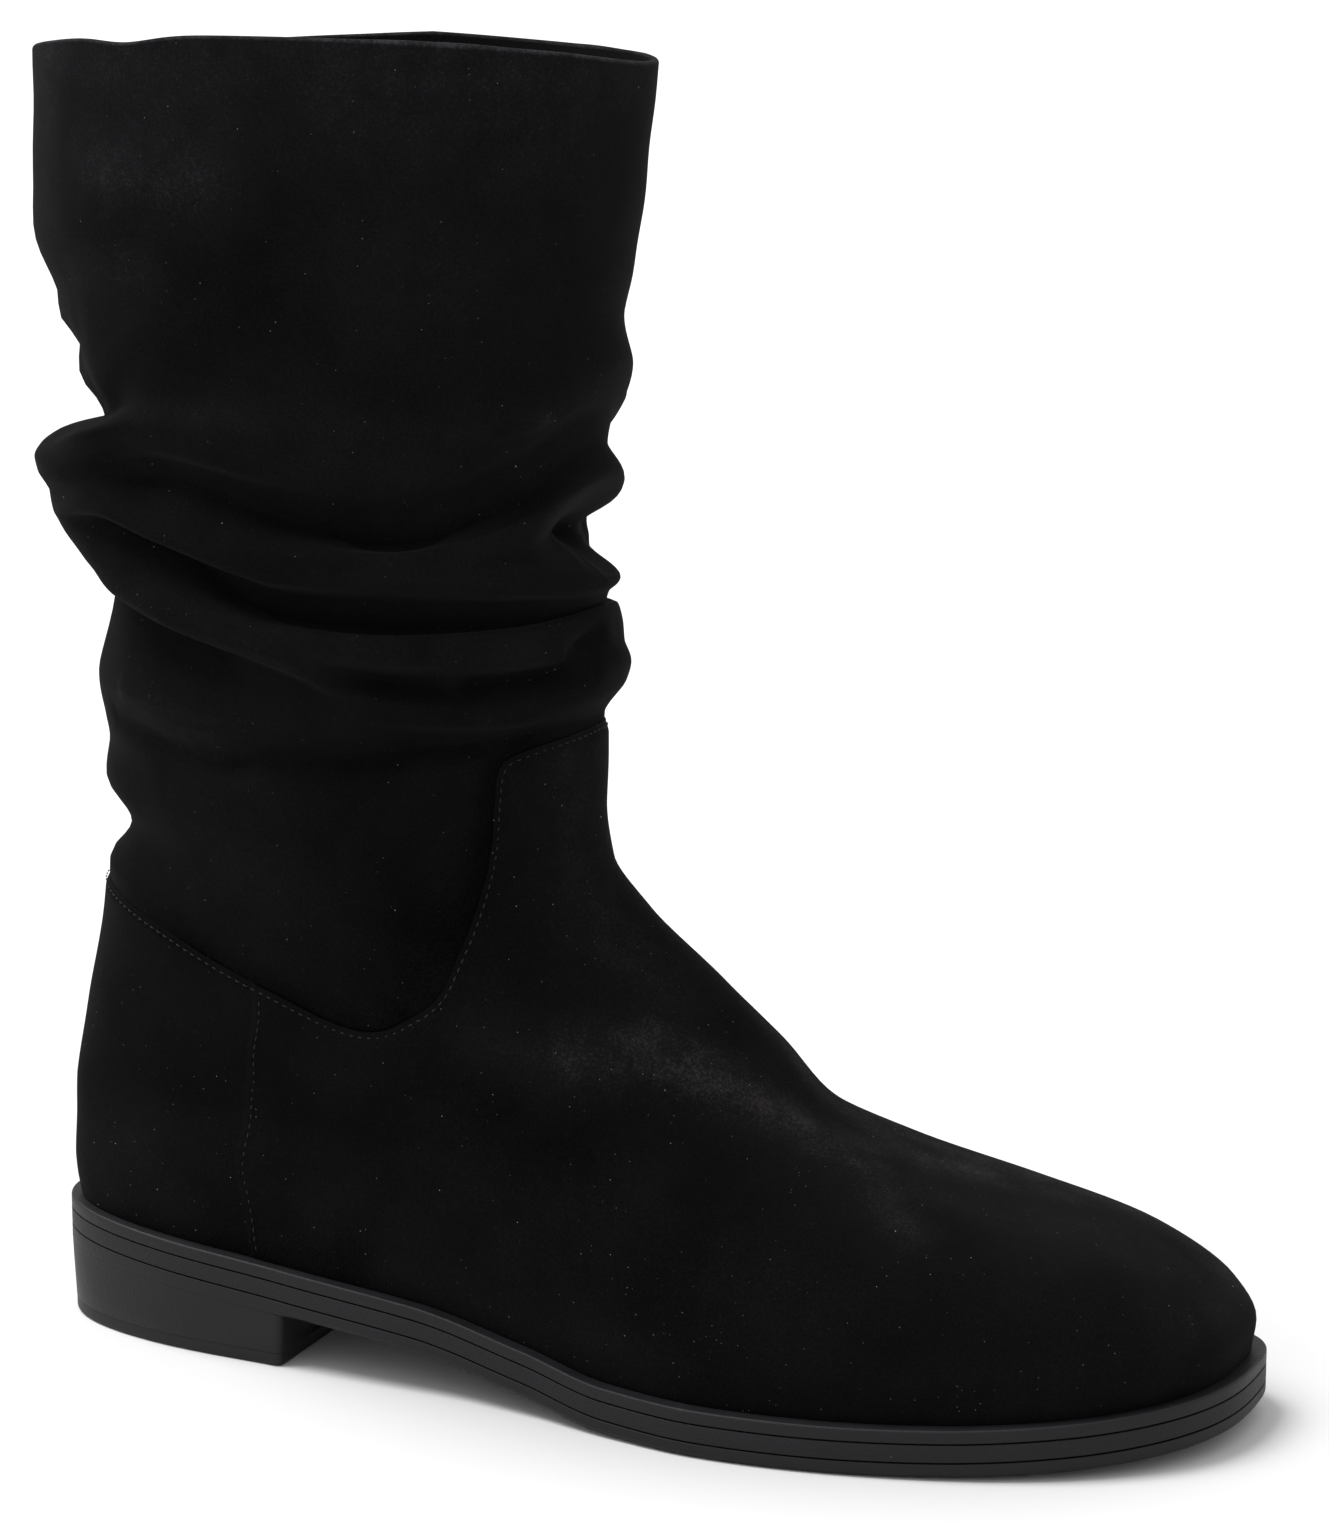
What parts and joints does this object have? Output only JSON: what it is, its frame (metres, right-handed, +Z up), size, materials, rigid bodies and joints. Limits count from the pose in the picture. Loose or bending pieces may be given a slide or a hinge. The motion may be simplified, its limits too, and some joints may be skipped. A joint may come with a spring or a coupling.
{
  "type": "slouch boot",
  "caption": "Right mid-calf suede boot with a softly folded, slouched shaft, a stitched foot part with a tab up the instep, and a low layered rubber sole with a small stacked heel.",
  "frame": {"origin": "middle of the heel's flat on the floor, under the middle of the heel seat", "axes": "+X towards the toe, +Y towards the inner (medial) side of this right boot, +Z up the shaft; the floor is z = 0"},
  "size_m": [0.2577, 0.093, 0.2709],
  "materials": {
    "suede": "matte black suede with a short nap",
    "rubber": "satin black rubber",
    "sock": "matte black insole sock"
  },
  "bodies": {
    "root": {"heel_lift": "rubber", "heel_block": "rubber", "outsole": "rubber", "midsole": "rubber", "welt": "rubber", "insole": "sock", "upper": "suede", "shaft": "suede"}
  },
  "joints": []
}
